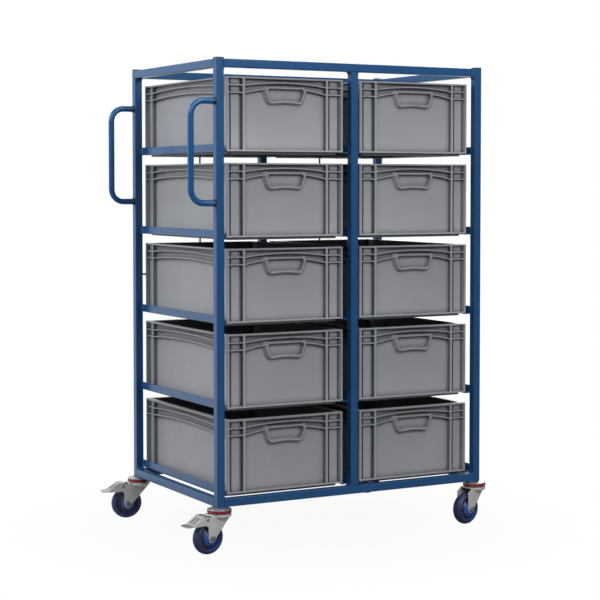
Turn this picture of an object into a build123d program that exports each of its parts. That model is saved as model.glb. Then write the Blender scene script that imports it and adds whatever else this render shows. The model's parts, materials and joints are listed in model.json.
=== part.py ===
from build123d import *
from math import radians, tan
import os

# Mobile tray rack: a welded square-tube frame on four castors, with two columns of stacking
# containers that slide in from the front on angle runners and stop against rods at the rear.
# Millimetres. X runs across the two columns, Y from front to rear, Z up from the floor.

# Container body
container_width = 400
container_depth = 600
wall_height = 221
wall = 3
floor_thickness = 3
foot_depth = 8
foot_inset = 14
foot_corner = 8
edge_corner = 3
rim_height = 5
bottom_flange = 5

# Container faces, measured in from the vertical edges and from the outer face
strip_width = 8
slot_depth = 13
pad_start = 18
pad_width = 27
pad_depth = 8
rib_start = 54
rib_width = 8
panel_depth = 12

# Arched ribs under the container's rim: drop at the corners, rise at the middle of a face
arch_thickness = 3.5
arch_drops = (25.5, 47.5)
short_face_rises = (10, 16.5)
long_face_rises = (8, 9)

# Shell grip on both short faces of a container
grip_drop = 28
grip_top_width = 145
grip_bottom_width = 109
grip_height = 51
grip_arch = 5
grip_corner = 14
grip_border = 4.5
grip_draft = 12
grip_floor_set = 1

# Places of the containers in the frame
column_names = ("left", "right")
tier_count = 5
tier_gap = 26.2
side_clearance = 16.75
front_setback = 19.7
foot_clearance = 0.5
top_clearance = 24.7
runner_play = 0.2
stop_play = 0.3

# Square-tube frame
tube_size = 25
tube_wall = 1.5
tube_corner = 2.5
cap_height = 4
cap_plug_depth = 15
cap_play = 0.2

# Angle runners and rear rods
runner_upright = 25
runner_sheet = 3
runner_bend = 4
runner_setback = 13
foot_side_play = 6.75
rod_diameter = 6

# Push handles on the left end
handle_tube = 19
handle_reach = 78
handle_span = 300
handle_bend = 41
handle_top_drop = 124
collar_diameter = 27
collar_width = 8
collar_play = 0.1

# Castors: wheel
wheel_diameter = 100
tyre_width = 32
tyre_thickness = 13
tyre_crown = 8
hub_length = 42
hub_face_radius = 13
hub_dish_width = 26
hub_edge = 2
groove_width = 6
rim_edge = 3
wheel_web = 12
wheel_rim_width = 28

# Castors: swivel head, fork and axle
castor_trail = 42
castor_turns = {"front_left": 9, "front_right": 14, "rear_left": -9, "rear_right": 5}
head_thickness = 7
head_edge_height = 3
head_top_radius = 24
head_radius = 36
seal_height = 7
seal_radius = 36.5
seal_wall = 7
race_play = 0.5
crown_gap = 4
crown_radius = 36
crown_height = 7
crown_cone_height = 16
crown_cone_radius = 14
crown_tuck = 1.5
crown_clearance = 14.5
fork_sheet = 2.5
fork_inner_width = 44
fork_front_set = 3
fork_back_drop = 14
fork_edge_radius = 6
fork_crease_reach = 31
fork_crease_angle = 8
fork_tip_radius = 13
tyre_clearance = 4
tyre_side_play = 2.5
hub_clearance = 5
hub_side_play = 0.7
kingpin_radius = 6
kingpin_play = 0.3
rivet_radius = 11
rivet_height = 4
stem_length = 40
stem_play = 0.3
axle_radius = 6
axle_play = 0.3
bolt_flats = 16
bolt_head_height = 6

# Castors: brake on the two left castors
brake_names = ("front_left", "rear_left")
cheek_reach = 105
cheek_end_height = 2.5
cheek_bottom_drop = 10
cheek_top_reach = 69
cheek_top_rise = 13.5
cheek_corner = 10
pivot_reach = 58
pivot_rise = 7.5
pin_radius = 3
pin_play = 0.25
pin_head_radius = 4.5
pin_head_height = 1.5
pedal_sheet = 2
pedal_side_play = 0.8
pedal_heel_reach = 50
pedal_heel_rise = 18
pedal_bend_reach = 69
pedal_knee_reach = 107
pedal_knee_drop = 6.5
pedal_toe_reach = 126
pedal_toe_drop = 8
pedal_toe_width = 50
pedal_toe_corner = 12
pedal_flange_depth = 8
pedal_eye_radius = 6
pedal_slot_length = 22
pedal_slot_width = 6
pedal_slot_spacing = 16

# Sizes that follow from the ones above
rib_end = rib_start + rib_width
grip_depth = panel_depth + grip_floor_set
wheel_radius = wheel_diameter / 2
tyre_inner_radius = wheel_radius - tyre_thickness
groove_end = tyre_inner_radius - rim_edge
groove_start = groove_end - groove_width
hub_dish_radius = groove_start - hub_edge
tube_bore = tube_size - 2 * tube_wall
rod_radius = rod_diameter / 2
bay_width = container_width + 2 * side_clearance
frame_width = 2 * bay_width + 3 * tube_size
frame_depth = front_setback + container_depth + stop_play + rod_diameter
half_width = frame_width / 2
half_depth = frame_depth / 2
post_x = half_width - tube_size / 2
post_y = half_depth - tube_size / 2
bay_x = (tube_size + bay_width) / 2
runner_ledge = side_clearance + foot_inset - foot_side_play
runner_length = frame_depth - 2 * runner_setback
container_y = -half_depth + front_setback + container_depth / 2

crown_top = wheel_diameter + crown_clearance + fork_sheet
seal_bottom = crown_top + crown_gap
head_bottom = seal_bottom + seal_height
post_bottom = head_bottom + head_thickness
base_top = post_bottom + tube_size
first_seat = base_top + foot_clearance + foot_depth
tier_pitch = wall_height + foot_depth + tier_gap
top_rim = first_seat + (tier_count - 1) * tier_pitch + wall_height
rail_underside = top_rim + top_clearance
post_top = rail_underside + tube_size
post_length = post_top - post_bottom

castor_places = {
    "front_left": (-post_x, -post_y),
    "front_right": (post_x, -post_y),
    "rear_left": (-post_x, post_y),
    "rear_right": (post_x, post_y),
}


def seat_height(tier):
    """Height at which the container of a tier rests, tier 1 at the top."""
    return first_seat + (tier_count - tier) * tier_pitch


# Square-tube frame


def tube_along_z(length):
    profile = RectangleRounded(tube_size, tube_size, tube_corner) - Rectangle(tube_bore, tube_bore)
    return extrude(profile, length)


def tube_along_x(length):
    return Pos(-length / 2, 0, 0) * Rot(0, 90, 0) * tube_along_z(length)


def tube_along_y(length):
    return Pos(0, -length / 2, 0) * Rot(-90, 0, 0) * tube_along_z(length)


def frame_posts():
    corner = Pos(0, 0, post_bottom) * tube_along_z(post_length)
    middle = Pos(0, 0, base_top) * tube_along_z(rail_underside - base_top)
    posts = {"post_" + name: Pos(x, y, 0) * corner for name, (x, y) in castor_places.items()}
    posts["post_front_middle"] = Pos(0, -post_y, 0) * middle
    posts["post_rear_middle"] = Pos(0, post_y, 0) * middle
    return posts


def frame_rails(prefix, height):
    across = tube_along_x(frame_width - 2 * tube_size)
    along = tube_along_y(frame_depth - 2 * tube_size)
    return {
        prefix + "_front": Pos(0, -post_y, height) * across,
        prefix + "_rear": Pos(0, post_y, height) * across,
        prefix + "_left": Pos(-post_x, 0, height) * along,
        prefix + "_right": Pos(post_x, 0, height) * along,
    }


def end_cap():
    plate = extrude(RectangleRounded(tube_size, tube_size, tube_corner), cap_height)
    plug_size = tube_bore - 2 * cap_play
    plug = extrude(Rectangle(plug_size, plug_size), -cap_plug_depth)
    return plate + plug


# Angle runners and rear rods


def angle_runner():
    """Angle with its upright at x = 0 and its ledge towards +X; z = 0 on top of the ledge."""
    outline = Polyline(
        (0, -runner_sheet),
        (runner_ledge, -runner_sheet),
        (runner_ledge, 0),
        (runner_sheet, 0),
        (runner_sheet, runner_upright - runner_sheet),
        (0, runner_upright - runner_sheet),
        close=True,
    )
    profile = make_face(outline)
    outer = profile.vertices().sort_by_distance((0, -runner_sheet, 0))[0]
    profile = fillet(outer, runner_bend)
    return Pos(0, runner_length / 2, 0) * extrude(Plane.XZ * profile, runner_length)


def tier_runners(tier):
    right_facing = angle_runner()
    left_facing = mirror(right_facing, Plane.YZ)
    height = seat_height(tier) - runner_play
    inner_edge = tube_size / 2
    outer_edge = inner_edge + bay_width
    return Compound([
        Pos(-outer_edge, 0, height) * right_facing,
        Pos(-inner_edge, 0, height) * left_facing,
        Pos(inner_edge, 0, height) * right_facing,
        Pos(outer_edge, 0, height) * left_facing,
    ])


def rear_stop_rods():
    """Two upright rods between the rear rails and one cross rod on the backs of the posts."""
    upright = extrude(Circle(rod_radius), rail_underside - base_top)
    upright = Pos(0, half_depth - rod_radius, base_top) * upright
    cross = Rot(0, 90, 0) * Cylinder(rod_radius, 2 * post_x)
    cross_height = (base_top + rail_underside) / 2
    return Compound([
        Pos(-bay_x, 0, 0) * upright,
        Pos(bay_x, 0, 0) * upright,
        Pos(0, half_depth + rod_radius, cross_height) * cross,
    ])


# Push handles


def push_handle():
    """Bent tube from the left face of a post; x = 0 on the face, z = 0 at the top of the post."""
    top = -handle_top_drop
    bottom = top - handle_span
    path = FilletPolyline(
        (0, 0, top),
        (-handle_reach, 0, top),
        (-handle_reach, 0, bottom),
        (0, 0, bottom),
        radius=handle_bend,
    )
    return sweep(Plane(origin=path @ 0, z_dir=path % 0) * Circle(handle_tube / 2), path=path)


def handle_collar():
    ring = Circle(collar_diameter / 2) - Circle(handle_tube / 2 + collar_play)
    return Rot(0, -90, 0) * extrude(ring, collar_width)


# Containers


def chamfered_rectangle(width, depth, corner):
    return chamfer(Rectangle(width, depth).vertices(), corner)


def face_ribs(face_length, drop, rise):
    """Rib on a face in its own plane: level over the corner cells, arched between the upright ribs."""
    half = face_length / 2
    arch_half = half - rib_end
    low = wall_height - drop - arch_thickness / 2
    high = low + arch_thickness
    outline = [
        Line((-half, low), (-arch_half, low)),
        ThreePointArc((-arch_half, low), (0, low + rise), (arch_half, low)),
        Line((arch_half, low), (half, low)),
        Line((half, low), (half, high)),
        Line((half, high), (arch_half, high)),
        ThreePointArc((arch_half, high), (0, high + rise), (-arch_half, high)),
        Line((-arch_half, high), (-half, high)),
        Line((-half, high), (-half, low)),
    ]
    return make_face(outline)


def grip_outline():
    top = wall_height - grip_drop
    bottom = top - grip_height
    outline = [
        Line((-grip_bottom_width / 2, bottom), (-grip_top_width / 2, top)),
        Line((-grip_top_width / 2, top), (grip_top_width / 2, top)),
        Line((grip_top_width / 2, top), (grip_bottom_width / 2, bottom)),
        ThreePointArc(
            (grip_bottom_width / 2, bottom), (0, bottom + grip_arch), (-grip_bottom_width / 2, bottom)),
    ]
    face = make_face(outline)
    return fillet(face.vertices(), grip_corner)


def both_short_faces(profile, depth, draft=0):
    """Profile in XZ carried inwards from the front and rear faces, narrowing by the draft angle."""
    front = Plane.XZ.offset(container_depth / 2) * profile
    front = extrude(front, depth, dir=(0, 1, 0), taper=draft)
    return front + mirror(front, Plane.XZ)


def both_long_faces(profile, depth):
    """Profile in YZ carried inwards from the left face and from the right face."""
    left = Pos(-container_width / 2, 0, 0) * extrude(Plane.YZ * profile, depth)
    return left + mirror(left, Plane.YZ)


def container_wall_plan(envelope):
    """Outside of the walls from above: panels, corner cells with a pad, upright ribs and corner strips."""
    width, depth = container_width, container_depth
    pad_middle = pad_start + pad_width / 2
    rib_middle = rib_start + rib_width / 2
    plan = Rectangle(width - 2 * slot_depth, depth - 2 * slot_depth)
    plan += Rectangle(width - 2 * rib_end, depth - 2 * panel_depth)
    plan += Rectangle(width - 2 * panel_depth, depth - 2 * rib_end)
    strip = Polyline(
        (0, 0),
        (-strip_width, 0),
        (-slot_depth - wall, -slot_depth - wall),
        (0, -strip_width),
        close=True,
    )
    strip = Pos(width / 2, depth / 2) * make_face(strip)
    for side in (-1, 1):
        plan += Pos(side * (width / 2 - pad_middle), 0) * Rectangle(pad_width, depth - 2 * pad_depth)
        plan += Pos(0, side * (depth / 2 - pad_middle)) * Rectangle(width - 2 * pad_depth, pad_width)
        plan += Pos(side * (width / 2 - rib_middle), 0) * Rectangle(rib_width, depth)
        plan += Pos(0, side * (depth / 2 - rib_middle)) * Rectangle(width, rib_width)
    strips = strip + mirror(strip, Plane.YZ)
    strips += mirror(strips, Plane.XZ)
    return (plan + strips) & envelope


def container_cavity_plan():
    width, depth = container_width, container_depth
    plan = Rectangle(width - 2 * (slot_depth + wall), depth - 2 * (slot_depth + wall))
    plan += Rectangle(width - 2 * (rib_end + wall), depth - 2 * (panel_depth + wall))
    plan += Rectangle(width - 2 * (panel_depth + wall), depth - 2 * (rib_end + wall))
    return plan


def container():
    """Stacking container; z = 0 under its side walls, where it rests on the runners."""
    envelope = chamfered_rectangle(container_width, container_depth, edge_corner)
    foot_width = container_width - 2 * foot_inset
    foot_length = container_depth - 2 * foot_inset
    foot = chamfered_rectangle(foot_width, foot_length, foot_corner)
    foot_inside = chamfered_rectangle(foot_width - 2 * wall, foot_length - 2 * wall, foot_corner - wall)

    body = extrude(container_wall_plan(envelope), wall_height)
    body += extrude(envelope, bottom_flange)
    body += Pos(0, 0, wall_height - rim_height) * extrude(envelope, rim_height)
    for drop, short_rise, long_rise in zip(arch_drops, short_face_rises, long_face_rises):
        body += both_short_faces(face_ribs(container_width, drop, short_rise), slot_depth)
        body += both_long_faces(face_ribs(container_depth, drop, long_rise), slot_depth)
    body &= extrude(envelope, wall_height)
    body -= Pos(0, 0, floor_thickness) * extrude(container_cavity_plan(), wall_height)

    body += Pos(0, 0, -foot_depth) * extrude(foot, foot_depth)
    body -= Pos(0, 0, floor_thickness - foot_depth) * extrude(foot_inside, foot_depth + bottom_flange)

    grip = grip_outline()
    body += both_short_faces(grip, grip_depth + wall, -grip_draft)
    return body - both_short_faces(offset(grip, -grip_border), grip_depth, grip_draft)


# Castors, with the swivel axis at x = y = 0 and the wheel trailing towards -X


def castor_head():
    """Upper race with its stem in the post and the kingpin that carries the fork."""
    rivet_top = crown_top - fork_sheet - race_play
    profile = Polyline(
        (0, post_bottom),
        (head_top_radius, post_bottom),
        (head_radius, head_bottom + head_edge_height),
        (head_radius, head_bottom),
        (kingpin_radius, head_bottom),
        (kingpin_radius, rivet_top),
        (rivet_radius, rivet_top),
        (rivet_radius, rivet_top - rivet_height),
        (0, rivet_top - rivet_height),
        close=True,
    )
    stem_size = tube_bore - 2 * stem_play
    stem = Pos(0, 0, post_bottom) * extrude(Rectangle(stem_size, stem_size), stem_length)
    return revolve(Plane.XZ * make_face(profile), Axis.Z) + stem


def castor_seal():
    ring = Circle(seal_radius) - Circle(seal_radius - seal_wall)
    return Pos(0, 0, seal_bottom) * extrude(ring, seal_height)


def along_y(profile, width):
    """Profile in XZ made into a plate of the given width about the middle plane."""
    return extrude(Plane.XZ * profile, width / 2, both=True)


def fork_side():
    """Side view of the fork: round tip at the axle, straight leading edge up to the crown."""
    tip = Pos(-castor_trail, wheel_radius) * Circle(fork_tip_radius)
    shoulders = Polyline(
        (-castor_trail - fork_tip_radius, crown_top - fork_back_drop),
        (-crown_radius, crown_top),
        (crown_radius - fork_front_set, crown_top),
        (crown_radius - fork_front_set, crown_top - crown_height),
        close=True,
    )
    return make_hull(tip.edges() + make_face(shoulders).edges())


def brake_cheek():
    """Side view of the plates behind the fork that carry the brake pedal."""
    top = wheel_diameter + cheek_top_rise
    low = wheel_diameter - cheek_bottom_drop
    outline = Polyline(
        (-castor_trail, low),
        (-cheek_reach, low),
        (-cheek_reach, low + cheek_end_height),
        (-cheek_top_reach, top),
        (-castor_trail, top),
        close=True,
    )
    return make_face(outline)


def fork_body(side, inset):
    """Space behind the leading edge and under the crown, drawn in by the sheet for the inside.

    In front of an upright crease the legs turn inwards by a small angle.
    """
    half = fork_inner_width / 2 + fork_sheet - inset
    far = 3 * wheel_diameter
    turn_in = tan(radians(fork_crease_angle))
    wide = half + (far - fork_crease_reach) * turn_in
    narrow = half - (wheel_diameter + fork_crease_reach) * turn_in
    near_side = [(-far, -wide), (wheel_diameter, -narrow)]
    far_side = [(wheel_diameter, narrow), (-far, wide)]
    facets = make_face(Polyline(*near_side, *far_side, close=True))

    leading = side.edges().filter_by(GeomType.LINE).sort_by(SortBy.LENGTH)[-1]
    slope = leading % 0
    top = leading.center() + slope * wheel_diameter - Vector(inset, 0)
    bottom = leading.center() - slope * wheel_diameter - Vector(inset, 0)
    back = Vector(far, 0)
    wedge = make_face(Polyline(top, bottom, bottom - back, top - back, close=True))
    body = along_y(wedge, 2 * wide) & extrude(facets, crown_top - inset)
    front = body.faces().filter_by(GeomType.PLANE).sort_by(lambda face: face.center().X)[-1]
    sloping = [edge for edge in front.edges() if abs((edge % 0).Z) > abs((edge % 0).Y)]
    body = fillet(sloping, fork_edge_radius - inset)
    round_front = Circle(crown_radius - crown_tuck - inset)
    plan = round_front + Pos(-wheel_diameter, 0) * Rectangle(2 * wheel_diameter, 2 * half)
    return body & extrude(plan, crown_top - inset)


def fork_neck(inset):
    """Round crown and the cone below it, drawn in by the sheet for the inside."""
    radius = crown_radius - inset
    cone_top = crown_top - crown_height
    cone_bottom = cone_top - crown_cone_height
    profile = Polyline(
        (0, crown_top - inset),
        (radius, crown_top - inset),
        (radius, cone_top),
        (crown_cone_radius - inset, cone_bottom),
        (0, cone_bottom),
        close=True,
    )
    return revolve(Plane.XZ * make_face(profile), Axis.Z)


def castor_fork(braked):
    """Pressed fork: crown, leading skirt and two legs, with its lower race and brake cheeks."""
    side = fork_side()
    axle_place = Pos(-castor_trail, wheel_radius)
    plates = side - axle_place * Circle(axle_radius)
    if braked:
        low = wheel_diameter - cheek_bottom_drop
        plates += brake_cheek()
        notch = plates.vertices().sort_by_distance((-castor_trail - fork_tip_radius, low, 0))[0]
        plates = fillet(notch, cheek_corner)
        plates -= Pos(-pivot_reach, wheel_diameter + pivot_rise) * Circle(pin_radius)
    wheel_room = axle_place * Circle(wheel_radius + tyre_clearance)
    wheel_room = along_y(wheel_room, tyre_width + 2 * tyre_side_play)
    hub_room = axle_place * Circle(hub_face_radius + hub_clearance)
    wheel_room += along_y(hub_room, hub_length + 2 * hub_side_play)

    fork = along_y(plates, fork_inner_width + 2 * fork_sheet) & fork_body(side, 0)
    fork += fork_neck(0)
    fork -= fork_body(side, fork_sheet)
    fork -= fork_neck(fork_sheet)
    fork -= wheel_room
    race = Circle(seal_radius - seal_wall - race_play)
    fork += Pos(0, 0, crown_top) * extrude(race, crown_gap + seal_height - race_play)
    return fork - Pos(0, 0, crown_top) * Cylinder(kingpin_radius + kingpin_play, wheel_radius)


def castor_axle():
    """Axle bolt with its head and nut against the outsides of the fork legs."""
    outer_width = fork_inner_width + 2 * fork_sheet
    place = Pos(-castor_trail, wheel_radius)
    shank = along_y(place * Circle(axle_radius), outer_width)
    hexagon = place * RegularPolygon(bolt_flats / 2, 6, major_radius=False)
    heads = along_y(hexagon, outer_width + 2 * bolt_head_height) - along_y(hexagon, outer_width)
    return shank + heads


def turned_on_axle(section):
    """Solid turned about the wheel axle from a section of radius and place along the axle."""
    return Pos(-castor_trail, 0, wheel_radius) * revolve(section, Axis.Y)


def tyre():
    """Solid tyre with flat sides and a round tread."""
    half = tyre_width / 2
    shoulder = wheel_radius - tyre_crown
    tread = ThreePointArc((shoulder, half), (wheel_radius, 0), (shoulder, -half))
    bore = [(tyre_inner_radius, -half), (tyre_inner_radius, half)]
    sides = Polyline((shoulder, -half), *bore, (shoulder, half))
    return turned_on_axle(make_face(tread.edges() + sides.edges()))


def wheel_centre():
    """Dished hub, grooved web and the rim that carries the tyre, alike on both sides."""
    one_side = [
        (axle_radius + axle_play, hub_length / 2),
        (hub_face_radius, hub_length / 2),
        (hub_dish_radius, hub_dish_width / 2),
        (groove_start, wheel_web / 2),
        (groove_end, wheel_web / 2),
        (tyre_inner_radius, wheel_rim_width / 2),
    ]
    other_side = [(radius, -place) for radius, place in reversed(one_side)]
    return turned_on_axle(make_face(Polyline(*one_side, *other_side, close=True)))


def pedal_pin():
    place = Pos(-pivot_reach, wheel_diameter + pivot_rise)
    outer_width = fork_inner_width + 2 * fork_sheet
    pin = along_y(place * Circle(pin_radius), outer_width)
    head = place * Circle(pin_head_radius)
    heads = along_y(head, outer_width + 2 * pin_head_height) - along_y(head, outer_width)
    return pin + heads


def brake_pedal():
    """Pressed pedal between the cheeks: level heel, slotted slope, flat toe and two flanges on the pin."""
    heel = (-pedal_heel_reach, wheel_diameter + pedal_heel_rise)
    bend = (-pedal_bend_reach, wheel_diameter + pedal_heel_rise)
    knee = (-pedal_knee_reach, wheel_diameter - pedal_knee_drop)
    toe = (-pedal_toe_reach, wheel_diameter - pedal_toe_drop)
    width = fork_inner_width - 2 * pedal_side_play
    pivot = Pos(-pivot_reach, wheel_diameter + pivot_rise)

    def lowered(point, amount):
        return (point[0], point[1] - amount)

    upper_side = [heel, bend, knee, toe]
    lower_side = [lowered(point, pedal_sheet) for point in reversed(upper_side)]
    top = make_face(Polyline(*upper_side, *lower_side, close=True))
    slope_plan = Rectangle(2 * pedal_knee_reach, width)
    toe_plan = Pos(-(pedal_knee_reach + pedal_toe_reach) / 2, 0)
    toe_plan *= Rectangle(pedal_toe_reach - pedal_knee_reach, pedal_toe_width)
    toe_plan = fillet(toe_plan.vertices().group_by(Axis.X)[0], pedal_toe_corner)
    slot_middle = (pedal_bend_reach + pedal_knee_reach) / 2
    slot = Pos(-slot_middle, 0) * SlotOverall(pedal_slot_length, pedal_slot_width)
    plan = slope_plan + toe_plan
    plan -= Pos(0, pedal_slot_spacing / 2) * slot + Pos(0, -pedal_slot_spacing / 2) * slot
    pedal = along_y(top, pedal_toe_width) & extrude(plan, 2 * wheel_diameter)

    flange = make_face(Polyline(
        heel, bend, knee, lowered(knee, pedal_sheet), lowered(bend, 2 * pedal_flange_depth),
        lowered(heel, 2 * pedal_flange_depth), close=True))
    flange += pivot * Circle(pedal_eye_radius)
    flanges = along_y(flange, width) - along_y(flange, width - 2 * pedal_sheet)
    return pedal + flanges - along_y(pivot * Circle(pin_radius + pin_play), width)


def castor_parts(name):
    braked = name in brake_names
    parts = {
        "fork_" + name: castor_fork(braked),
        "axle_" + name: castor_axle(),
        "wheel_centre_" + name: wheel_centre(),
        "tyre_" + name: tyre(),
    }
    if braked:
        parts["brake_pedal_" + name] = brake_pedal()
        parts["pedal_pin_" + name] = pedal_pin()
    x, y = castor_places[name]
    turn = Rot(0, 0, castor_turns[name])
    return {node: Pos(x, y, 0) * turn * shape for node, shape in parts.items()}


# Assembly


def corner_group(shape):
    return Compound([Pos(x, y, 0) * shape for x, y in castor_places.values()])


def assemble():
    parts = frame_posts()
    parts.update(frame_rails("top_rail", post_top - tube_size / 2))
    parts.update(frame_rails("base_rail", post_bottom + tube_size / 2))
    parts["end_caps"] = corner_group(Pos(0, 0, post_top) * end_cap())
    for tier in range(1, tier_count + 1):
        parts[f"runners_tier_{tier}"] = tier_runners(tier)
    parts["rear_stop_rods"] = rear_stop_rods()

    handle = Pos(-half_width, 0, post_top) * push_handle()
    parts["push_handles"] = Compound([Pos(0, y, 0) * handle for y in (-post_y, post_y)])
    collar = Pos(-half_width, 0, post_top - handle_top_drop) * handle_collar()
    pair = [collar, Pos(0, 0, -handle_span) * collar]
    parts["handle_collars"] = Compound([Pos(0, y, 0) * ring for y in (-post_y, post_y) for ring in pair])

    parts["castor_heads"] = corner_group(castor_head())
    parts["castor_seals"] = corner_group(castor_seal())
    for name in castor_places:
        parts.update(castor_parts(name))

    box = container()
    for column, x in zip(column_names, (-bay_x, bay_x)):
        for tier in range(1, tier_count + 1):
            parts[f"container_{column}_{tier}"] = Pos(x, container_y, seat_height(tier)) * box
    return parts


# The origin lies on the floor under the middle of the overall box.
parts = assemble()
middle = Compound(list(parts.values())).bounding_box().center()
centred = Pos(-middle.X, -middle.Y, 0)

os.makedirs("parts", exist_ok=True)
for node, shape in parts.items():
    export_step(centred * shape, os.path.join("parts", node + ".step"))
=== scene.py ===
import json
import math

import bmesh
import bpy
from mathutils import Matrix, Vector


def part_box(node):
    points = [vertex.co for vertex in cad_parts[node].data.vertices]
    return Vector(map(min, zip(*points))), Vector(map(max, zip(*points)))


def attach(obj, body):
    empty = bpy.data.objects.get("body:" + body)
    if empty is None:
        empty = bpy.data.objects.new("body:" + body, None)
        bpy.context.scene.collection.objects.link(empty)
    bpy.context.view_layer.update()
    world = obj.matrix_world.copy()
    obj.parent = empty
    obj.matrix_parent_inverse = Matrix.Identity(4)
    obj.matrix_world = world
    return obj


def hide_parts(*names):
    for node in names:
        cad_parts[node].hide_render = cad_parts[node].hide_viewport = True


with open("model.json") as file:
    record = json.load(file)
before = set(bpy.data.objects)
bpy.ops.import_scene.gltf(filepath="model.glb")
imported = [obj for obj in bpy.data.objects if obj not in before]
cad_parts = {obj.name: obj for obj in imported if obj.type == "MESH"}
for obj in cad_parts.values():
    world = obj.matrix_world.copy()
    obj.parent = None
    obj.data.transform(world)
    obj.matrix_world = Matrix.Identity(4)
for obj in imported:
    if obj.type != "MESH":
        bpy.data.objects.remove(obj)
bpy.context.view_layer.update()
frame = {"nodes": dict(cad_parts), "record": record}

nodes = frame["nodes"]
scene = bpy.context.scene
scene.view_settings.view_transform = "Standard"

# Camera: its place round the rack's middle, in metres, radians and picture pixels
picture_side = 600
focal_pixels = 1642.1
horizon_offset = 40.8
camera_turn = 0.5044
camera_tilt = -0.0446
camera_distance = 5.3178
camera_height = 1.0867
camera_side = -0.0170
rack_middle_x = 0.045065
sensor_width = 36
nearest_seen = 0.1
farthest_seen = 100


def place_camera():
    forward_flat = Vector((math.sin(camera_turn), math.cos(camera_turn), 0))
    side = Vector((math.cos(camera_turn), -math.sin(camera_turn), 0))
    middle = Vector((rack_middle_x, 0, camera_height))
    place = middle - forward_flat * camera_distance + side * camera_side
    forward = forward_flat * math.cos(camera_tilt) + Vector((0, 0, math.sin(camera_tilt)))
    data = bpy.data.cameras.new("camera")
    data.sensor_width = sensor_width
    data.lens = sensor_width * focal_pixels / picture_side
    data.shift_y = -horizon_offset / picture_side
    data.clip_start = nearest_seen
    data.clip_end = farthest_seen
    data.dof.use_dof = False
    camera = bpy.data.objects.new("camera", data)
    scene.collection.objects.link(camera)
    camera.location = place
    camera.rotation_mode = "QUATERNION"
    camera.rotation_quaternion = forward.to_track_quat("-Z", "Y")
    scene.camera = camera


# Node trees: the part of a noise that fills a range, a Mix node's colour sockets, and samples
noise_low = 0.3
noise_high = 0.7
first_colour = 6
second_colour = 7
colour_result = 2
edge_samples = 4
recess_samples = 6
surface_ior = 1.5


def link(tree, source, socket):
    tree.links.new(source, socket)


def object_coordinates(tree):
    return tree.nodes.new("ShaderNodeTexCoord").outputs["Object"]


def split_axes(tree, vector):
    node = tree.nodes.new("ShaderNodeSeparateXYZ")
    link(tree, vector, node.inputs["Vector"])
    return node.outputs


def surface_normal(tree):
    return tree.nodes.new("ShaderNodeNewGeometry").outputs["Normal"]


def stretched(tree, vector, scale):
    node = tree.nodes.new("ShaderNodeMapping")
    node.inputs["Scale"].default_value = scale
    link(tree, vector, node.inputs["Vector"])
    return node.outputs["Vector"]


def noise(tree, vector, scale, detail, roughness=0.5):
    node = tree.nodes.new("ShaderNodeTexNoise")
    node.inputs["Scale"].default_value = scale
    node.inputs["Detail"].default_value = detail
    node.inputs["Roughness"].default_value = roughness
    link(tree, vector, node.inputs["Vector"])
    return node.outputs["Fac"]


def ranged(tree, value, low, high, to_low, to_high):
    node = tree.nodes.new("ShaderNodeMapRange")
    node.inputs["From Min"].default_value = low
    node.inputs["From Max"].default_value = high
    node.inputs["To Min"].default_value = to_low
    node.inputs["To Max"].default_value = to_high
    link(tree, value, node.inputs["Value"])
    return node.outputs["Result"]


def varied(tree, vector, scale, detail, to_low, to_high):
    """Soft noise that fills the range between two values."""
    cloud = noise(tree, vector, scale, detail)
    return ranged(tree, cloud, noise_low, noise_high, to_low, to_high)


def calculated(tree, operation, first, second):
    node = tree.nodes.new("ShaderNodeMath")
    node.operation = operation
    for socket, value in zip(node.inputs, (first, second)):
        if isinstance(value, (int, float)):
            socket.default_value = value
        else:
            link(tree, value, socket)
    return node.outputs["Value"]


def mixed_colour(tree, factor, first, second):
    node = tree.nodes.new("ShaderNodeMix")
    node.data_type = "RGBA"
    link(tree, factor, node.inputs["Factor"])
    for index, value in ((first_colour, first), (second_colour, second)):
        if isinstance(value, tuple):
            node.inputs[index].default_value = (*value, 1)
        else:
            link(tree, value, node.inputs[index])
    return node.outputs[colour_result]


def clouded(tree, vector, scale, detail, first, second):
    """Colour that drifts between two shades."""
    return mixed_colour(tree, varied(tree, vector, scale, detail, 0.0, 1.0), first, second)


def rounded_normal(tree, radius):
    node = tree.nodes.new("ShaderNodeBevel")
    node.samples = edge_samples
    node.inputs["Radius"].default_value = radius
    return node.outputs["Normal"]


def edge_mask(tree, rounded):
    """1 on an edge, 0 on flat faces, from a rounded normal."""
    dot = tree.nodes.new("ShaderNodeVectorMath")
    dot.operation = "DOT_PRODUCT"
    link(tree, rounded, dot.inputs[0])
    link(tree, surface_normal(tree), dot.inputs[1])
    return ranged(tree, dot.outputs["Value"], low=0.98, high=0.75, to_low=0.0, to_high=1.0)


def painted_shade_mask(tree, distance):
    """1 deep in a slot or hollow, 0 on open faces; it masks painted shade."""
    node = tree.nodes.new("ShaderNodeAmbientOcclusion")
    node.samples = recess_samples
    node.only_local = True
    node.inputs["Distance"].default_value = distance
    return ranged(tree, node.outputs["AO"], low=0.35, high=0.95, to_low=1.0, to_high=0.0)


def upward_mask(tree):
    """1 on faces that look up, 0 on upright ones."""
    height = split_axes(tree, surface_normal(tree))["Z"]
    return ranged(tree, height, low=0.3, high=0.9, to_low=0.0, to_high=1.0)


def bumped(tree, height, strength, distance, normal=None):
    node = tree.nodes.new("ShaderNodeBump")
    node.inputs["Strength"].default_value = strength
    node.inputs["Distance"].default_value = distance
    link(tree, height, node.inputs["Height"])
    if normal is not None:
        link(tree, normal, node.inputs["Normal"])
    return node.outputs["Normal"]


def new_surface(name, metallic=0.0):
    material = bpy.data.materials.new(name)
    material.use_nodes = True
    tree = material.node_tree
    shader = tree.nodes["Principled BSDF"]
    shader.inputs["Metallic"].default_value = metallic
    shader.inputs["IOR"].default_value = surface_ior
    return material, tree, shader


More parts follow.
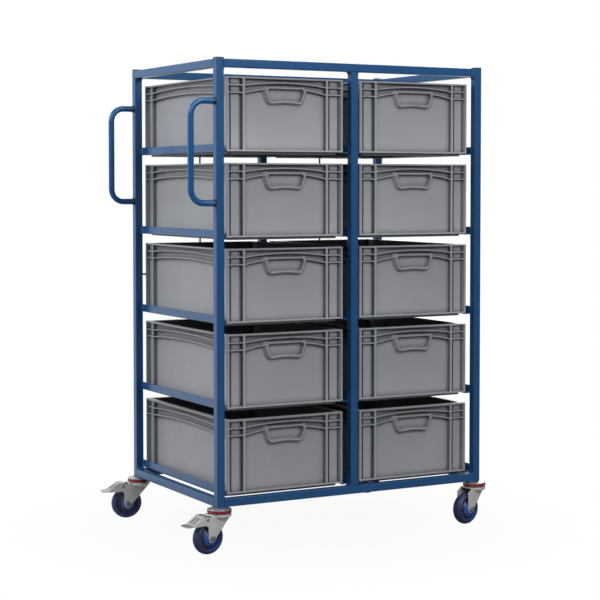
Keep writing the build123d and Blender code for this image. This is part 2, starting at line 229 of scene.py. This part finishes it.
# Powder coat
coat_weight = 0.18
coat_roughness = 0.16
coat_tint = (0.50, 0.80, 1.0, 1.0)
coat_edge = 0.0022
rub_and_highlight_blue = (0.05, 0.13, 0.28)


def powder_coat(name, thin, full):
    """Satin paint with faint clouds, a fine peel and patchy lighter blue along its edges, part
    rub wear and part painted highlight.
    """
    material, tree, shader = new_surface(name)
    shader.inputs["Coat Weight"].default_value = coat_weight
    shader.inputs["Coat Roughness"].default_value = coat_roughness
    shader.inputs["Specular Tint"].default_value = coat_tint
    place = object_coordinates(tree)
    body = clouded(tree, place, 6.0, 2.0, thin, full)
    rounded = rounded_normal(tree, coat_edge)
    # painted highlight with rub wear: the blue is lightened in patches along the edges
    patches = noise(tree, place, scale=25.0, detail=3.0)
    rub_and_highlight_share = ranged(tree, patches, low=0.5, high=0.8, to_low=0.0, to_high=0.10)
    rub_and_highlight_mask = calculated(tree, "MULTIPLY", edge_mask(tree, rounded), rub_and_highlight_share)
    link(tree, mixed_colour(tree, rub_and_highlight_mask, body, rub_and_highlight_blue), shader.inputs["Base Color"])
    gloss = varied(tree, place, 14.0, 2.0, to_low=0.282, to_high=0.296)
    link(tree, gloss, shader.inputs["Roughness"])
    peel = noise(tree, place, scale=380.0, detail=1.0)
    normal = bumped(tree, peel, strength=0.05, distance=0.0002, normal=rounded)
    link(tree, normal, shader.inputs["Normal"])
    return material


# Containers: reach of the painted shade in slots, depth of the dish in each wall and the tiers,
# in metres
slot_shade_reach = 0.018
slot_painted_shade = 0.8
panel_dish = 0.055
lowest_seat = 0.1685
tier_pitch = 0.2552
dish_middle = 0.40
container_edge = 0.0012
deep_grey = (0.252, 0.259, 0.281)
pale_grey = (0.276, 0.283, 0.305)
streak_grey = (0.38, 0.39, 0.41)
scuff_grey = (0.46, 0.47, 0.485)
wear_and_highlight_grey = (0.44, 0.445, 0.45)
dust_grey = (0.42, 0.42, 0.415)
slot_shade_grey = (0.048, 0.049, 0.054)


def tier_dish(tree, place):
    """Height of a shallow dish that repeats in every tier, lowest near mid-height of the wall."""
    above_seat = calculated(tree, "SUBTRACT", split_axes(tree, place)["Z"], lowest_seat)
    tiers = calculated(tree, "DIVIDE", above_seat, tier_pitch)
    offset = calculated(tree, "SUBTRACT", calculated(tree, "FRACT", tiers, 0.0), dish_middle)
    return calculated(tree, "MULTIPLY", offset, offset)


def moulded_grey():
    """Grained plastic with streaks, scuffs, dust on its ledges, lighter edges that are part wear
    and part painted highlight, and painted shade in its slots.
    """
    material, tree, shader = new_surface("grey_polypropylene")
    place = object_coordinates(tree)
    body = clouded(tree, place, 5.0, 2.0, deep_grey, pale_grey)
    flow = stretched(tree, place, (60.0, 60.0, 4.0))
    streaks = noise(tree, flow, scale=1.0, detail=3.0, roughness=0.6)
    streaked = ranged(tree, streaks, low=0.55, high=0.8, to_low=0.0, to_high=0.12)
    drawn = mixed_colour(tree, streaked, body, streak_grey)
    rubs = stretched(tree, place, (22.0, 22.0, 60.0))
    scuffs = noise(tree, rubs, scale=1.0, detail=6.0, roughness=0.7)
    scratched = ranged(tree, scuffs, low=0.68, high=0.82, to_low=0.0, to_high=0.25)
    scuffed = mixed_colour(tree, scratched, drawn, scuff_grey)
    rounded = rounded_normal(tree, container_edge)
    # part wear, part painted highlight: the grey is lightened in patches along the edges
    patches = noise(tree, place, scale=45.0, detail=4.0)
    wear_and_highlight_share = ranged(tree, patches, low=0.35, high=0.7, to_low=0.02, to_high=0.25)
    wear_and_highlight_mask = calculated(tree, "MULTIPLY", edge_mask(tree, rounded), wear_and_highlight_share)
    edged = mixed_colour(tree, wear_and_highlight_mask, scuffed, wear_and_highlight_grey)
    fallen = varied(tree, place, 18.0, 5.0, to_low=0.05, to_high=0.3)
    dust = calculated(tree, "MULTIPLY", upward_mask(tree), fallen)
    dusty = mixed_colour(tree, dust, edged, dust_grey)
    # painted shade: slots and hollows are darkened towards near black
    slot_shade_mask = calculated(tree, "MULTIPLY", painted_shade_mask(tree, slot_shade_reach), slot_painted_shade)
    link(tree, mixed_colour(tree, slot_shade_mask, dusty, slot_shade_grey), shader.inputs["Base Color"])
    gloss = varied(tree, place, 28.0, 4.0, to_low=0.39, to_high=0.47)
    link(tree, gloss, shader.inputs["Roughness"])
    warp = noise(tree, place, scale=3.6, detail=1.0)
    bowed = bumped(tree, warp, strength=0.6, distance=0.02, normal=rounded)
    sunk = bumped(tree, tier_dish(tree, place), 1.0, panel_dish, bowed)
    grain = noise(tree, place, scale=1600.0, detail=1.0)
    normal = bumped(tree, grain, strength=0.2, distance=0.0002, normal=sunk)
    link(tree, normal, shader.inputs["Normal"])
    return material


# Zinc plate
zinc_edge = 0.0012
zinc_shade_reach = 0.02
highlight_strength = 0.6
hollow_painted_shade = 0.5
highlight_zinc = (0.86, 0.86, 0.85)
hollow_shade_grey = (0.05, 0.05, 0.055)


def zinc_plate(name, metallic, dull, bright, glossiest, dullest):
    """Plated sheet with a painted highlight along its edges and painted shade in its hollows."""
    material, tree, shader = new_surface(name, metallic)
    place = object_coordinates(tree)
    body = clouded(tree, place, 30.0, 2.0, dull, bright)
    rounded = rounded_normal(tree, zinc_edge)
    # painted highlight: the zinc is lightened along its edges
    zinc_highlight_mask = calculated(tree, "MULTIPLY", edge_mask(tree, rounded), highlight_strength)
    highlighted_zinc = mixed_colour(tree, zinc_highlight_mask, body, highlight_zinc)
    # painted shade: hollows are darkened towards near black
    shade = calculated(tree, "MULTIPLY", painted_shade_mask(tree, zinc_shade_reach), hollow_painted_shade)
    link(tree, mixed_colour(tree, shade, highlighted_zinc, hollow_shade_grey), shader.inputs["Base Color"])
    link(tree, varied(tree, place, 90.0, 3.0, glossiest, dullest), shader.inputs["Roughness"])
    drawing = stretched(tree, place, (40.0, 40.0, 400.0))
    lines = noise(tree, drawing, scale=1.0, detail=2.0)
    normal = bumped(tree, lines, strength=0.012, distance=0.0002, normal=rounded)
    link(tree, normal, shader.inputs["Normal"])
    return material


def grained_plastic(name, deep, pale, cloud, gloss, glossiest, dullest, grain, strength,
                    distance, edge=None):
    """Moulded plastic: scales of its clouds, gloss and grain, and the radius of its edges."""
    material, tree, shader = new_surface(name)
    place = object_coordinates(tree)
    link(tree, clouded(tree, place, cloud, 3.0, deep, pale), shader.inputs["Base Color"])
    link(tree, varied(tree, place, gloss, 3.0, glossiest, dullest), shader.inputs["Roughness"])
    rounded = None if edge is None else rounded_normal(tree, edge)
    pits = noise(tree, place, scale=grain, detail=1.0)
    link(tree, bumped(tree, pits, strength, distance, rounded), shader.inputs["Normal"])
    return material


# Tyre rubber
deep_navy = (0.0115, 0.022, 0.088)
pale_navy = (0.016, 0.031, 0.112)
dusty_navy = (0.045, 0.065, 0.15)


def navy_rubber():
    """Elastic tread rubber with a fine grain and a little dust."""
    material, tree, shader = new_surface("navy_rubber")
    place = object_coordinates(tree)
    body = clouded(tree, place, 40.0, 4.0, deep_navy, pale_navy)
    specks = noise(tree, place, scale=120.0, detail=6.0, roughness=0.65)
    dust = ranged(tree, specks, low=0.52, high=0.8, to_low=0.0, to_high=0.25)
    link(tree, mixed_colour(tree, dust, body, dusty_navy), shader.inputs["Base Color"])
    gloss = varied(tree, place, 80.0, 3.0, to_low=0.42, to_high=0.6)
    link(tree, gloss, shader.inputs["Roughness"])
    grain = noise(tree, place, scale=1100.0, detail=2.0)
    normal = bumped(tree, grain, strength=0.25, distance=0.0003)
    link(tree, normal, shader.inputs["Normal"])
    return material


finishes = {
    "frame_paint": powder_coat(
        "blue_powder_coat", thin=(0.0115, 0.0605, 0.174), full=(0.0128, 0.066, 0.190)),
    # handles: a brighter, bluer copy of the frame's blue coat, painted light
    "handle_coat_with_painted_light": powder_coat(
        "blue_handle_coat_with_painted_light", thin=(0.0075, 0.066, 0.198), full=(0.0085, 0.072, 0.214)),
    # rods: a much darker copy of the frame's blue coat, painted shade
    "rod_coat_with_painted_shade": powder_coat(
        "blue_rod_coat_with_painted_shade", thin=(0.0045, 0.014, 0.040), full=(0.0055, 0.017, 0.048)),
    "container_grey": moulded_grey(),
    "zinc": zinc_plate(
        "zinc_plate", metallic=0.4, dull=(0.565, 0.565, 0.55), bright=(0.60, 0.60, 0.58),
        glossiest=0.38, dullest=0.46),
    "pedal_zinc": zinc_plate(
        "pedal_zinc", metallic=0.75, dull=(0.36, 0.36, 0.355), bright=(0.44, 0.44, 0.43),
        glossiest=0.30, dullest=0.38),
    "bolt_steel": zinc_plate(
        "bolt_steel", metallic=0.7, dull=(0.17, 0.175, 0.18), bright=(0.30, 0.30, 0.30),
        glossiest=0.24, dullest=0.32),
    "head_zinc": zinc_plate(
        "head_zinc", metallic=0.9, dull=(0.40, 0.41, 0.42), bright=(0.50, 0.505, 0.51),
        glossiest=0.26, dullest=0.34),
    "red_seal": grained_plastic(
        "red_seal_plastic", deep=(0.205, 0.003, 0.010), pale=(0.260, 0.005, 0.014),
        cloud=90.0, gloss=160.0, glossiest=0.32, dullest=0.5,
        grain=1800.0, strength=0.15, distance=0.00015),
    "tyre_navy": navy_rubber(),
    "wheel_blue": grained_plastic(
        "blue_wheel_plastic", deep=(0.010, 0.072, 0.38), pale=(0.014, 0.090, 0.45),
        cloud=60.0, gloss=130.0, glossiest=0.28, dullest=0.42,
        grain=1500.0, strength=0.12, distance=0.00015, edge=0.0008),
    "black_plastic": grained_plastic(
        "black_moulding", deep=(0.012, 0.013, 0.016), pale=(0.020, 0.021, 0.024),
        cloud=70.0, gloss=110.0, glossiest=0.36, dullest=0.52,
        grain=1500.0, strength=0.2, distance=0.0002, edge=0.001),
}
node_finishes = (
    ("container_", "container_grey"),
    ("push_handles", "handle_coat_with_painted_light"),
    ("rear_stop_rods", "rod_coat_with_painted_shade"),
    ("castor_heads", "head_zinc"),
    ("castor_seals", "red_seal"),
    ("end_caps", "black_plastic"),
    ("fork_", "zinc"),
    ("axle_", "bolt_steel"),
    ("pedal_pin_", "bolt_steel"),
    ("brake_pedal_", "pedal_zinc"),
    ("wheel_centre_", "wheel_blue"),
    ("tyre_", "tyre_navy"),
)


def finish_of(name):
    for start, finish in node_finishes:
        if name.startswith(start):
            return finish
    return "frame_paint"


def paint_nodes():
    for name, node in nodes.items():
        node.data.materials.clear()
        node.data.materials.append(finishes[finish_of(name)])


# Pieces that the solids leave out
merge_distance = 0.000001
sharp_angle = math.radians(40)
millimetres = 1000


def new_piece(name, shape, slot, body):
    bmesh.ops.remove_doubles(shape, verts=shape.verts, dist=merge_distance)
    bmesh.ops.recalc_face_normals(shape, faces=shape.faces)
    mesh = bpy.data.meshes.new(name)
    shape.to_mesh(mesh)
    shape.free()
    mesh.shade_smooth()
    mesh.set_sharp_from_angle(angle=sharp_angle)
    mesh.materials.append(finishes[slot])
    piece = bpy.data.objects.new(name, mesh)
    scene.collection.objects.link(piece)
    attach(piece, body)
    return piece


def node_corners(name):
    """Lowest and highest corner of a node at rest."""
    return [Vector(corner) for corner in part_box(name)]


def extruded(shape, face):
    """The new end face of a bar that grows from a face."""
    moved = bmesh.ops.extrude_face_region(shape, geom=[face])["geom"]
    return next(item for item in moved if isinstance(item, bmesh.types.BMFace))


def turned_ring(shape, section, centre, axis, steps):
    """Section of radius and place along the axis, in millimetres, turned once round the axis."""
    outwards = axis.orthogonal().normalized()
    corners = [shape.verts.new(centre + (outwards * radius + axis * place) / millimetres)
               for radius, place in section]
    edges = [shape.edges.new(pair) for pair in zip(corners, corners[1:] + corners[:1])]
    bmesh.ops.spin(shape, geom=corners + edges, cent=centre, axis=axis,
                   angle=2 * math.pi, steps=steps, use_merge=True)


# Black ring in the groove on each side of a wheel
groove_ring_section = (
    (34.3, 6.4), (35.4, 9.4), (34.6, 10.4), (32.0, 10.9), (28.6, 11.2), (27.0, 12.4),
    (25.6, 13.9), (23.4, 15.3), (22.8, 15.0), (25.0, 13.2), (27.2, 9.0), (27.8, 6.4),
)
groove_ring_steps = 64


def wheel_groove_rings():
    for joint in frame["record"]["behaviour"]["joints"]:
        if not joint["name"].endswith("_roll"):
            continue
        shape = bmesh.new()
        axle, axis = Vector(joint["pos_m"]), Vector(joint["axis"])
        for side in (-1, 1):
            turned_ring(shape, groove_ring_section, axle, side * axis, groove_ring_steps)
        new_piece("groove_rings_" + joint["child"], shape, "black_plastic", joint["child"])


# Sloping skirt round the shell grip on both short faces of a container, in millimetres
grip_drop = 28
grip_height = 51
grip_half_top = 72.5
grip_half_bottom = 54.5
grip_arch = 5
quarter_rise = 0.75
grip_corner = 14
corner_steps = 5
panel_depth = 12
skirt_reach = 9
least_reach_above = 1
least_reach_below = 4
skirt_root = -1.5
root_depth = 1.0
skirt_slope = ((0.0, 0.5), (0.26, 2.6), (0.60, 7.6))
skirt_seat = 0.3


def rounded_corner(before, corner, after):
    """Points of a curve that leaves one edge and joins the next."""
    leave = corner + (before - corner).normalized() * grip_corner
    join = corner + (after - corner).normalized() * grip_corner
    shares = [step / (corner_steps - 1) for step in range(corner_steps)]
    return [leave.lerp(corner, share).lerp(corner.lerp(join, share), share) for share in shares]


def grip_path():
    """Outline of the grip from its upper left corner round to the upper right; 0 at the rim."""
    top, bottom = -grip_drop, -grip_drop - grip_height
    upper, lower = Vector((-grip_half_top, top)), Vector((-grip_half_bottom, bottom))
    quarter = Vector((-grip_half_bottom / 2, bottom + quarter_rise * grip_arch))
    middle = Vector((0, bottom + grip_arch))
    left = rounded_corner(Vector((0, top)), upper, lower)
    left += rounded_corner(upper, lower, quarter) + [quarter]
    right = [Vector((-point.x, point.y)) for point in reversed(left)]
    return left + [middle] + right


def skirt_section(point, outwards):
    """Section of the skirt as pairs of a place on the face and a depth under it."""
    least = least_reach_below if outwards.y < 0 else least_reach_above
    reach = least + (skirt_reach - least) * abs(outwards.x)
    slope = [(share * reach, depth) for share, depth in skirt_slope]
    foot = [(reach, panel_depth - skirt_seat), (skirt_root, panel_depth + skirt_seat)]
    steps = [(skirt_root, root_depth)] + slope + foot
    return [(point + outwards * offset, depth) for offset, depth in steps]


def grip_skirt(shape, rim_middle, inwards):
    path = grip_path()
    face = None
    for index, point in enumerate(path):
        run = path[min(index + 1, len(path) - 1)] - path[max(index - 1, 0)]
        section = skirt_section(point, Vector((run.y, -run.x)).normalized())
        places = [rim_middle + Vector((flat.x, inwards * depth, flat.y)) / millimetres
                  for flat, depth in section]
        if face is None:
            face = shape.faces.new([shape.verts.new(place) for place in places])
            continue
        face = extruded(shape, face)
        for vertex, place in zip(face.verts, places):
            vertex.co = place


def grip_skirts():
    for name in nodes:
        if not name.startswith("container_"):
            continue
        low, high = node_corners(name)
        middle_x = (low.x + high.x) / 2
        shape = bmesh.new()
        grip_skirt(shape, Vector((middle_x, low.y, high.z)), 1)
        grip_skirt(shape, Vector((middle_x, high.y, high.z)), -1)
        new_piece("grip_skirts_" + name, shape, "container_grey", name)


# Ring round each end of a push handle, in millimetres, and the collars' radius in metres
end_ring_section = ((9.6, 0.0), (10.6, 0.0), (11.0, 0.6), (11.0, 5.4), (10.4, 6.4), (9.6, 6.6))
end_ring_steps = 32
collar_radius = 0.0135


def handle_end_rings():
    low, high = node_corners("handle_collars")
    outwards = Vector((-1, 0, 0))
    shape = bmesh.new()
    for y in (low.y + collar_radius, high.y - collar_radius):
        for z in (low.z + collar_radius, high.z - collar_radius):
            centre = Vector((high.x, y, z))
            turned_ring(shape, end_ring_section, centre, outwards, end_ring_steps)
    rings = new_piece("handle_end_rings", shape, "black_plastic", "frame")
    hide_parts("handle_collars")


# Weld beads in the inside corners of the frame, in metres, and their section in shares of a leg
bead_leg = 0.008
bead_length = 0.021
bead_ripples = 7
bead_swell = 1.12
bead_profile = ((0.0, 0.0), (1.0, 0.0), (0.46, 0.14), (0.14, 0.46), (0.0, 1.0))


def weld_bead(shape, corner, along, first_leg, second_leg):
    """Hollow bead with ripples, centred on the corner, its legs on the faces that meet there."""
    start = corner - along * (bead_length / 2)
    points = [start + (first_leg * a + second_leg * b) * bead_leg for a, b in bead_profile]
    face = shape.faces.new([shape.verts.new(point) for point in points])
    for ripple in range(bead_ripples):
        face = extruded(shape, face)
        bmesh.ops.translate(shape, verts=face.verts, vec=along * (bead_length / bead_ripples))
        swell = 1 / bead_swell if ripple % 2 else bead_swell
        reached = start + along * (bead_length * (ripple + 1) / bead_ripples)
        bmesh.ops.scale(shape, verts=face.verts, vec=(swell, swell, swell),
                        space=Matrix.Translation(-reached))


def rail_beads(shape, rail, post):
    """Beads in the corners between a post and a rail that ends at it or lies across its end."""
    rail_low, rail_high = node_corners(rail)
    post_low, post_high = node_corners(post)
    rail_middle = (rail_low + rail_high) / 2
    post_middle = (post_low + post_high) / 2
    run = 0 if rail_high.x - rail_low.x > rail_high.y - rail_low.y else 1
    upper = rail_middle.z > post_middle.z
    offset = rail_middle[run] - post_middle[run]
    sides = (1, -1) if abs(offset) < bead_leg else (math.copysign(1, offset),)
    for side in sides:
        corner = rail_middle.copy()
        corner[run] = post_high[run] if side > 0 else post_low[run]
        corner.z = rail_low.z if upper else rail_high.z
        outwards = Vector((0, 0, 0))
        outwards[run] = side
        along = Vector((0, 0, 0))
        along[1 - run] = 1
        weld_bead(shape, corner, along, outwards, Vector((0, 0, -1 if upper else 1)))


def runner_beads(shape, tier, post, side):
    """Upright bead where the outer runner of a tier meets a corner post on one side."""
    runner_low, runner_high = node_corners(tier)
    post_low, post_high = node_corners(post)
    corner = (runner_low + runner_high) / 2
    rearwards = 1 if post_low.y < corner.y else -1
    corner.x = runner_low.x if side < 0 else runner_high.x
    corner.y = post_high.y if rearwards > 0 else post_low.y
    upwards = Vector((0, 0, 1))
    weld_bead(shape, corner, upwards, Vector((0, rearwards, 0)), Vector((side, 0, 0)))


def frame_welds():
    shape = bmesh.new()
    corners = ("front_left", "front_right", "rear_left", "rear_right")
    for level in ("top_rail_", "base_rail_"):
        for post in corners:
            for rail in post.split("_"):
                rail_beads(shape, level + rail, "post_" + post)
        for row in ("front", "rear"):
            rail_beads(shape, level + row, "post_" + row + "_middle")
    for tier in range(1, 6):
        for post in corners:
            side = -1 if "left" in post else 1
            runner_beads(shape, f"runners_tier_{tier}", "post_" + post, side)
    new_piece("frame_welds", shape, "frame_paint", "frame")


# Lamps: place, target, width and height in metres, power in watts
lit_middle = (rack_middle_x, 0, 0.75)
lamps = {
    "front_softbox": ((0.55, -3.8, 3.0), (0.0, -0.3, 0.9), 1.5, 1.4, 102),
    "front_fill": ((-1.5, -2.8, 2.5), (-0.2, -0.3, 1.1), 1.2, 1.2, 26),
    "left_softbox": ((-3.9, 0.8, 2.9), lit_middle, 2.0, 2.4, 146),
    "top_softbox": ((0.2, -0.6, 4.8), lit_middle, 2.4, 2.4, 40),
    "back_softbox": ((2.6, 3.2, 2.6), lit_middle, 2.0, 2.0, 120),
}


def studio_light():
    for name, (place, target, width, height, power) in lamps.items():
        data = bpy.data.lights.new(name, "AREA")
        data.shape = "RECTANGLE"
        data.size = width
        data.size_y = height
        data.energy = power
        lamp = bpy.data.objects.new(name, data)
        scene.collection.objects.link(lamp)
        lamp.location = place
        lamp.rotation_mode = "QUATERNION"
        lamp.rotation_quaternion = (Vector(target) - Vector(place)).to_track_quat("-Z", "Y")


def directly_seen(tree):
    """Masks of the rays that come from the camera or through glass, and of reflections."""
    path = tree.nodes.new("ShaderNodeLightPath")
    camera_ray, clear_ray = path.outputs["Is Camera Ray"], path.outputs["Is Transmission Ray"]
    return calculated(tree, "MAXIMUM", camera_ray, clear_ray), path.outputs["Is Glossy Ray"]


# Surroundings and floor
even_fill = 0.13
plain_white = (1.0, 1.0, 1.0)
mirrored_white = (0.90, 0.96, 1.0)
floor_grey = (0.28, 0.28, 0.28, 1)
floor_radius = 20.0
floor_sides = 96


def white_surroundings():
    """White where seen; pale behind and above in reflections, dim in front; else a low fill."""
    world = bpy.data.worlds.new("surroundings")
    scene.world = world
    world.use_nodes = True
    tree = world.node_tree
    tree.nodes.clear()
    directions = tree.nodes.new("ShaderNodeTexCoord").outputs["Generated"]
    axes = split_axes(tree, directions)
    behind = ranged(tree, axes["Y"], low=-0.2, high=0.45, to_low=0.1, to_high=1.0)
    above = ranged(tree, axes["Z"], low=0.0, high=0.16, to_low=0.1, to_high=0.55)
    seen, glossy = directly_seen(tree)
    pale = calculated(tree, "MAXIMUM", behind, above)
    mirrored = calculated(tree, "MULTIPLY", glossy, pale)
    shown = calculated(tree, "MAXIMUM", seen, mirrored)
    strength = calculated(tree, "MAXIMUM", shown, even_fill)
    background = tree.nodes.new("ShaderNodeBackground")
    colour = mixed_colour(tree, glossy, plain_white, mirrored_white)
    link(tree, colour, background.inputs["Color"])
    link(tree, strength, background.inputs["Strength"])
    result = tree.nodes.new("ShaderNodeOutputWorld")
    link(tree, background.outputs["Background"], result.inputs["Surface"])


def floor_surface():
    """Grey that takes the light, shown white to the camera and a little darker by the rack."""
    material = bpy.data.materials.new("pale_floor")
    material.use_nodes = True
    tree = material.node_tree
    tree.nodes.clear()
    diffuse = tree.nodes.new("ShaderNodeBsdfDiffuse")
    diffuse.inputs["Color"].default_value = floor_grey
    glow = tree.nodes.new("ShaderNodeEmission")
    glow.inputs["Color"].default_value = (*plain_white, 1)
    glow.inputs["Strength"].default_value = 1.0
    place = object_coordinates(tree)
    distance = tree.nodes.new("ShaderNodeVectorMath")
    distance.operation = "LENGTH"
    link(tree, place, distance.inputs[0])
    far = ranged(tree, distance.outputs["Value"], low=0.35, high=1.0, to_low=0.94, to_high=1.0)
    rear = split_axes(tree, place)["Y"]
    behind = ranged(tree, rear, low=-0.1, high=0.9, to_low=0.0, to_high=0.9)
    seen, glossy = directly_seen(tree)
    shown = calculated(tree, "MULTIPLY", seen, far)
    mirrored = calculated(tree, "MULTIPLY", glossy, behind)
    mix = tree.nodes.new("ShaderNodeMixShader")
    link(tree, calculated(tree, "MAXIMUM", shown, mirrored), mix.inputs["Fac"])
    link(tree, diffuse.outputs["BSDF"], mix.inputs[1])
    link(tree, glow.outputs["Emission"], mix.inputs[2])
    result = tree.nodes.new("ShaderNodeOutputMaterial")
    link(tree, mix.outputs["Shader"], result.inputs["Surface"])
    return material


def pale_floor():
    shape = bmesh.new()
    bmesh.ops.create_circle(shape, cap_ends=True, segments=floor_sides, radius=floor_radius)
    mesh = bpy.data.meshes.new("floor")
    shape.to_mesh(mesh)
    shape.free()
    mesh.materials.append(floor_surface())
    floor = bpy.data.objects.new("floor", mesh)
    scene.collection.objects.link(floor)


place_camera()
paint_nodes()
grip_skirts()
wheel_groove_rings()
handle_end_rings()
frame_welds()
white_surroundings()
pale_floor()
studio_light()
